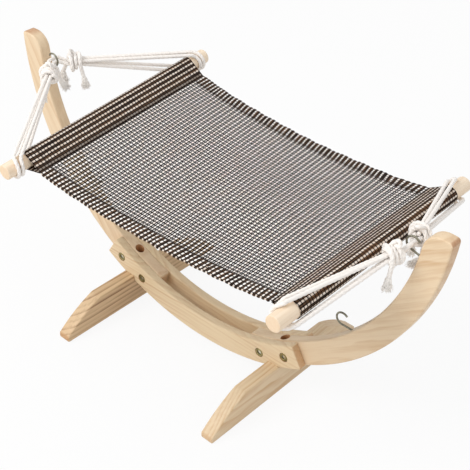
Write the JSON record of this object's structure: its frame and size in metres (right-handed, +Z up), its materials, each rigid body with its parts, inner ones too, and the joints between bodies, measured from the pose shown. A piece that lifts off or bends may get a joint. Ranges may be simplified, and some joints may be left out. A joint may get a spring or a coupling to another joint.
{
  "type": "cat hammock",
  "caption": "Pet hammock: a curved pine stand on cross feet, with a woven sling whose end bars hang on cotton rope from screw hooks at the stand's tips.",
  "frame": {"origin": "on the floor, below the middle of the bow", "axes": "+X along the bow from its left arm to its right arm, +Y across it from front to rear, +Z up"},
  "size_m": [0.7164, 0.3702, 0.3553],
  "materials": {
    "pine": "clear matt lacquer on planed pine",
    "pine_bar": "sanded bare pine dowel",
    "zinc": "zinc plated, slightly warm",
    "weave": "dark brown open weave with rows of pale dashes",
    "cotton": "undyed twisted cotton"
  },
  "bodies": {
    "frame": {"left_arm": "pine", "right_arm": "pine", "front_rail": "pine", "rear_rail": "pine", "left_foot": "pine", "right_foot": "pine", "rail_bolts": "zinc", "rail_nuts": "zinc", "foot_bolts": "zinc", "foot_inserts": "zinc", "left_upper_hook": "zinc", "right_upper_hook": "zinc", "left_lower_hook": "zinc", "right_lower_hook": "zinc"},
    "sling": {"left_bar": "pine_bar", "right_bar": "pine_bar", "sling_panel": "weave", "front_hem": "weave", "rear_hem": "weave", "left_inner_rope": "cotton", "left_outer_rope": "cotton", "right_inner_rope": "cotton", "right_outer_rope": "cotton", "left_front_knot": "cotton", "left_rear_knot": "cotton", "right_front_knot": "cotton", "right_rear_knot": "cotton"}
  },
  "joints": [
    {"name": "sling_swing", "type": "hinge", "parent": "frame", "child": "sling", "pos_m": [0, 0, 0.32408], "axis": [1, 0, 0], "range_deg": [-25, 25]}
  ]
}
